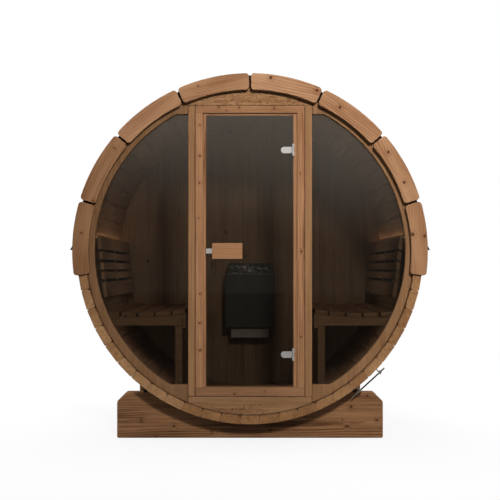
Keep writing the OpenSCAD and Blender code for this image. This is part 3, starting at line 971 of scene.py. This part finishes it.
def build_fittings():
    """Cradles, and the tensioners, whose rods are painted black between the nuts."""
    angle = math.radians(42.6)
    rod_r = 1.040
    half_between_nuts = 0.068
    outward_way = Vector((math.sin(angle), 0, -math.cos(angle)))
    rod_way = Vector((math.cos(angle), 0, math.sin(angle)))
    middle = Vector((0, 0, AXIS_Z)) + outward_way * rod_r
    for node in ("tensioner_front", "tensioner_rear"):
        piece = ease(cad_copy(node), 0.0005, 1)
        for side in (-1, 1):
            cut(piece, middle + rod_way * (side * half_between_nuts), rod_way)
        show(piece, node + "_rod", ZINC, SHELL, "zinc_steel", node)
        repaint(piece, BLACK_METAL, lambda face: abs((face.center - middle).dot(rod_way)) < half_between_nuts)
    for node in ("cradle_front", "cradle_rear"):
        piece = lay_grain(ease(cad_copy(node), 0.008, 3), "X")
        show(piece, node + "_beam", CRADLE_WOOD, SHELL, "cradle_wood", node)


def build_benches():
    """Slats, whose facing sides are painted near-black as painted shade in the gaps between them, and
    supports, of which those behind the first are painted near-black as painted shade.
    """
    edge_on = 0.8
    for node in ("bench_slats_left", "bench_slats_right", "backrest_slats_left", "backrest_slats_right"):
        piece = lay_grain(ease(cad_copy(node), 0.004, 3), "Y")
        show(piece, node + "_boards", BENCH_WOOD, SHELL, "bench_wood", node)
        across = 0 if node.startswith("bench") else 2
        # The slats' sides that face each other are painted near-black: painted shade in the gaps
        repaint(piece, SHADE_BLACK, lambda face: abs(face.normal[across]) > edge_on)
    for node, along in (("bench_bearers", "X"), ("bench_skirts", "Z"), ("backrest_brackets", "Z")):
        through = "X" if node == "bench_skirts" else None
        piece = lay_grain(ease(cad_copy(node), 0.003, 2), along, through=through)
        show(piece, node + "_boards", BENCH_WOOD, SHELL, "bench_wood", node)
        if node == "backrest_brackets":
            past_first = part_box(node)[0].y + 0.1
            # Brackets behind the first are painted near-black: painted shade behind the gaps between slats
            repaint(piece, SHADE_BLACK, lambda face: face.center.y > past_first)


def build_led_strips():
    """A slim channel along each side, with its lit diffuser on top."""
    low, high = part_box("led_strips")
    half_w = 0.005
    rim, end_gap = 0.001, 0.004
    channel_top = high.z - 0.002
    diffuser_foot = high.z - 0.0022
    for side, name in ((-1, "left"), (1, "right")):
        middle = side * (high.x - half_w)
        bar = block(
            "led_channel_" + name, (middle - half_w, low.y, low.z), (middle + half_w, high.y, channel_top)
        )
        ease(bar, 0.0008, 1)
        show(bar, "led_channel_" + name, ALUMINIUM, SHELL, "warm_light", "led_strips")
        glow = block(
            "led_diffuser_" + name,
            (middle - half_w + rim, low.y + end_gap, diffuser_foot),
            (middle + half_w - rim, high.y - end_gap, high.z),
        )
        ease(glow, 0.0006, 1)
        show(glow, "led_diffuser_" + name, LIGHT, SHELL, "warm_light", "led_strips")


# ---------------------------------------------------------------- heater


def build_heater():
    """Sheet steel housing with an open hopper whose rim slopes up to the back, on a pale box."""
    low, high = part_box("heater_housing")
    front_rim = low.z + 0.381
    shoulder = front_rim - 0.016
    taper = 0.020
    front_share = 0.975
    sheet_t, hopper_depth = 0.010, 0.11
    housing = block("heater", (low.x, low.y, low.z), (high.x, high.y, high.z))
    cut(housing, (0, 0, shoulder), (0, 0, 1))
    pick(housing, "VERT", lambda co: co.z > shoulder + 0.01 and co.y < low.y + 0.01)
    bpy.ops.transform.translate(value=(0, 0, front_rim - high.z))
    bpy.ops.transform.resize(value=(front_share, 1, 1), center_override=(0, 0, front_rim))
    done()
    pick(housing, "VERT", lambda co: co.z > shoulder + 0.01 and co.y > high.y - 0.01)
    bpy.ops.transform.resize(value=((high.x - taper) / high.x, 1, 1), center_override=(0, 0, high.z))
    done()

    def is_top(centre, facing):
        return facing.z > 0.5 and centre.z > shoulder + 0.02

    pick(housing, "FACE", is_top)
    bpy.ops.mesh.inset(thickness=sheet_t, use_even_offset=True)
    bpy.ops.mesh.extrude_region_move(TRANSFORM_OT_translate={"value": (0, 0, -hopper_depth)})
    done()
    ease(housing, 0.0035, 3)
    show(housing, "heater_casing", HEATER_PAINT, SHELL, "heater_paint", "heater_housing")
    lip_z, lip_y = front_rim - 0.006, low.y + 0.012
    # The front lip's faces are painted pale: a painted highlight
    repaint(housing, LIP_HIGHLIGHT, lambda face: face.center.z > lip_z and face.center.y < lip_y)

    base_low, base_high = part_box("heater_base")
    base = block("heater_box", base_low, base_high)
    pick(base, "FACE", lambda centre, facing: facing.y < -0.5)
    bpy.ops.mesh.inset(thickness=0.004)
    bpy.ops.transform.translate(value=(0, 0.003, 0))
    done()
    ease(base, 0.002, 2)
    show(base, "heater_box", HEATER_STEEL, SHELL, "heater_steel", "heater_base")


def model_stone(seed):
    """A split stone about 40 mm across, on the origin."""
    clear_selection()
    bpy.ops.mesh.primitive_ico_sphere_add(subdivisions=2, radius=0.022)
    stone = bpy.context.object
    pick(stone, "VERT", lambda co: True)
    bpy.ops.transform.vertex_random(offset=0.0045, seed=seed)
    bpy.ops.mesh.convex_hull()
    done()
    ease(stone, 0.0012, 1, 20)
    return stone


def build_stones():
    """Stones piled in the hopper, rising to the back."""
    low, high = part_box("heater_stones")
    kinds = [model_stone(seed) for seed in (3, 8, 14, 21, 35)]
    heap = []
    step, layer_h = 0.034, 0.030
    margin = 0.012
    front_rim, rise = 0.966, 0.070
    rows = int((high.y - low.y) / step)
    for row in range(rows):
        along = (row + 0.5) / rows
        y = low.y + margin + along * (high.y - low.y - 2 * margin)
        top = front_rim - margin + along * rise
        for column in range(9):
            for layer in range(3):
                x = (column - 4 + 0.5 * (row % 2) - 0.25) * step + rng.uniform(-0.006, 0.006)
                if abs(x) > high.x - margin:
                    continue
                z = top - layer * layer_h + rng.uniform(-0.007, 0.007)
                turn = Matrix.Rotation(rng.uniform(0, 6.28), 4, (rng.random(), rng.random(), 1))
                size = Matrix.Diagonal((*(rng.uniform(0.75, 1.12) for _ in range(3)), 1))
                place = Matrix.Translation((x, y, z)) @ turn @ size
                heap.append(twin(rng.choice(kinds), "stone", place))
    for kind in kinds:
        bpy.data.objects.remove(kind)
    pile = joined("heater_stone_pile", heap)
    lay_grain(pile, "X")
    show(pile, "heater_stone_pile", STONE, SHELL, "heater_stone", "heater_stones")


# ---------------------------------------------------------------- roof


def curved_sheet(name, inner, outer, sweep, y_low, y_high, steps):
    """A sheet from the barrel's top round to the right by an angle, on the origin's axis."""
    sheet = block(name, (-0.001, y_low, inner), (0, y_high, outer))
    pick(sheet, "FACE", lambda centre, facing: facing.x > 0.5)
    bpy.ops.mesh.spin(steps=steps, angle=-sweep, center=(0, 0, 0), axis=(0, 1, 0))
    done()
    if max(vertex.co.x for vertex in sheet.data.vertices) < 0.01:
        raise RuntimeError("the sheet went the wrong way round")
    pick(sheet, "VERT", lambda co: co.x < -0.0005)
    bpy.ops.mesh.delete(type="VERT")
    bpy.ops.mesh.select_all(action="DESELECT")
    bpy.ops.mesh.select_non_manifold()
    bpy.ops.mesh.edge_face_add()
    done()
    return outward(sheet)


def trimmed(piece, edge_y):
    """Cuts a shingle off at the roof's end if it runs past it."""
    for side in (-1, 1):
        if max(vertex.co.y * side for vertex in piece.data.vertices) > edge_y:
            cut(piece, (0, side * edge_y, 0), (0, side, 0), keep_both=False)
    return piece


def build_roof():
    """Bitumen shingles in staggered courses on a felt skin, with a cap along the top."""
    low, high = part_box("roof_cover")
    skin_r = high.z - AXIS_Z
    under_r = skin_r - 0.005
    half_angle = math.radians(88)
    courses = 11
    course = half_angle / courses
    tab_sweep = course * 1.04
    tab_w = 0.333
    tab_steps, tab_lift = 4, 0.0021
    stagger = 0.04
    slot_w = 0.007
    felt_t = 0.0022
    cap_sweep, cap_l, cap_pitch = 0.27, 0.150, 0.145
    edge_y = high.y - 0.001

    skin = curved_sheet("skin", under_r, under_r + felt_t, 2 * half_angle, low.y, high.y, 88)
    skin = twin(skin, "roof_skin", round_barrel(-half_angle))
    lay_grain(skin, "Y")

    # The outer face of a tab rises towards its lower edge, over the course below
    tab = curved_sheet(
        "tab", under_r + felt_t, skin_r - felt_t, tab_sweep, slot_w / 2, tab_w - slot_w / 2, tab_steps
    )
    outer_face = skin_r - 0.0026
    for index in range(tab_steps + 1):
        turn = tab_sweep * index / tab_steps

        def on_row(co):
            return abs(math.atan2(co.x, co.z) - turn) < 0.002 and math.hypot(co.x, co.z) > outer_face

        pick(tab, "VERT", on_row)
        lift = tab_lift * index / tab_steps
        bpy.ops.transform.translate(value=(lift * math.sin(turn), 0, lift * math.cos(turn)))
        done()
    tabs = []
    for side in (-1, 1):
        for row in range(courses):
            shift = tab_w / 2 * (row % 2) + stagger * (row % 3)
            for column in range(-4, 4):
                y = column * tab_w + shift
                if y > edge_y or y + tab_w < -edge_y:
                    continue
                place = round_barrel(side * row * course, y)
                if side < 0:
                    place = place @ Matrix.Translation((0, tab_w, 0)) @ Matrix.Rotation(math.pi, 4, "Z")
                tabs.append(trimmed(twin(tab, f"tab_{row}", place), edge_y))
    caps = []
    cap = curved_sheet("cap", skin_r + 0.0004, skin_r + 0.0030, cap_sweep, 0, cap_l, 10)
    pick(cap, "VERT", lambda co: co.y < 0.01)
    bpy.ops.transform.translate(value=(0, 0, 0.0024))
    done()
    for index in range(-7, 7):
        place = round_barrel(-cap_sweep / 2, index * cap_pitch)
        caps.append(trimmed(twin(cap, f"cap_{index}", place), edge_y))
    bpy.data.objects.remove(tab)
    bpy.data.objects.remove(cap)
    shingles = joined("roof_shingles", tabs + caps)
    lay_grain(shingles, "Y", round_axis=True)
    show(shingles, "roof_shingles", ROOF, SHELL, "roof_bitumen", "roof_cover")
    show(skin, "roof_skin", ROOF, SHELL, "roof_bitumen", "roof_cover")
    bpy.data.objects.remove(bpy.data.objects["skin"])


CAD_FINISHES = {
    "steel_bands": BAND_STEEL,
    "saddle_pads": RUBBER,
    "drip_edge_left": BLACK_METAL,
    "drip_edge_right": BLACK_METAL,
}


def finish_cad_nodes():
    """The CAD nodes that stay as they are get their materials."""
    for node, material in CAD_FINISHES.items():
        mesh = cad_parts[node].data
        mesh.materials.clear()
        mesh.materials.append(material)


# ---------------------------------------------------------------- studio


def build_studio():
    """A white studio: a pale floor that keeps the shadow, a large soft key and weak lamps in the cabin."""
    scene = bpy.context.scene
    scene.view_settings.view_transform = "Standard"

    lens = bpy.data.cameras.new("camera")
    lens.lens = 77.15
    lens.sensor_width = 36
    lens.shift_y = 0.038
    camera = bpy.data.objects.new("camera", lens)
    camera.location = (0, -7.07, 1.005)
    camera.rotation_euler = (math.pi / 2, 0, 0)
    scene.collection.objects.link(camera)
    scene.camera = camera

    clear_selection()
    bpy.ops.mesh.primitive_plane_add(size=77, location=(0, 0, 0))
    floor = bpy.context.object
    floor.name = "studio_floor"
    pale = Shading.material("pale_floor", Roughness=0.9, Specular_IOR_Level=0.0)
    seen = pale.ray("Camera")
    shade = pale.blend(pale.ray("Glossy"), rgb(0.26, 0.26, 0.26), rgb(0.050, 0.047, 0.040))
    pale.give(Base_Color=pale.blend(seen, shade, rgb(0.9, 0.9, 0.9)))
    lit = pale.node("ShaderNodeEmission", None, {"Color": rgb(1, 1, 1), "Strength": 1.0})
    far = pale.length(pale.place()).smooth(2.5, 6.0)
    mixer = pale.node("ShaderNodeMixShader", None, {0: seen * (far * 0.14 + 0.86)})
    pale.feed(mixer.inputs[1], pale.shader.outputs[0])
    pale.feed(mixer.inputs[2], lit.outputs[0])
    pale.feed(pale.tree.nodes["Material Output"].inputs["Surface"], mixer.outputs[0])
    floor.data.materials.append(pale.made)

    # Name, place, target, size, spread in degrees, power in watts
    lamps = (
        ("key", (0.9, -6.8, 3.0), (0.78, -0.84, 2.2), 0.5, 77, 74),
        ("left", (-5.5, 0.8, 3.2), (0, 0, 1.0), 3.0, 180, 190),
        ("right", (5.5, 0.8, 3.2), (0, 0, 1.0), 3.0, 180, 200),
        ("back", (-1.5, 6.2, 3.4), (0, 0, 1.1), 3.0, 180, 260),
        ("cabin", (-0.40, -0.78, 1.30), (-0.40, 0.8, 1.30), 1.0, 180, 0.85),
        ("cabin_top", (0.1, -0.25, 1.05), (0.1, 0.25, 2.0), 0.9, 180, 1.15),
        ("rest_left", (0.3, -0.5, 1.05), (-0.85, 0.0, 0.98), 0.3, 55, 0.36),
        ("rest_right", (-0.3, -0.5, 1.05), (0.85, 0.0, 0.98), 0.3, 55, 0.27),
        ("under_left", (-0.62, -0.6, 0.52), (-0.75, 0.8, 0.45), 0.25, 180, 0.8),
        ("under_right", (0.62, -0.6, 0.52), (0.75, 0.8, 0.45), 0.25, 180, 0.8),
        ("top", (0, 0.6, 6.0), (0, 0, 1.0), 3.0, 180, 90),
    )
    for name, place, target, size, spread, power in lamps:
        lamp = bpy.data.lights.new(name, "AREA")
        lamp.size = size
        lamp.spread = math.radians(spread)
        lamp.energy = power
        holder = bpy.data.objects.new(name, lamp)
        holder.location = place
        holder.rotation_euler = (Vector(target) - Vector(place)).to_track_quat("-Z", "Y").to_euler()
        holder.visible_camera = False
        holder.visible_glossy = False
        scene.collection.objects.link(holder)

    world = bpy.data.worlds.new("studio")
    scene.world = world
    world.use_nodes = True
    sky = Shading(world.node_tree)
    background = sky.tree.nodes["Background"]
    direction = sky.node("ShaderNodeTexCoord").outputs["Generated"]
    side, _, height = sky.split(direction)
    ambient = sky.blend(height.smooth(-0.3, 0.9), rgb(0.11, 0.11, 0.112), rgb(0.26, 0.26, 0.265))
    brighter_right = height + side * 0.12
    low_mirror, high_mirror = rgb(0.115, 0.103, 0.088), rgb(1.6, 1.45, 1.22)
    mirrored = sky.blend(brighter_right.smooth(0.026, 0.152), low_mirror, high_mirror)
    colour = sky.blend(sky.ray("Glossy"), ambient, mirrored)
    shown = sky.ray("Camera").most(sky.ray("Transmission"))
    sky.feed(background.inputs["Color"], sky.blend(shown, colour, rgb(1, 1, 1)))


build_staves()
build_fascia()
build_front_wall()
build_rear_wall()
build_door()
build_fittings()
build_benches()
build_led_strips()
build_heater()
build_stones()
build_roof()
finish_cad_nodes()
build_studio()
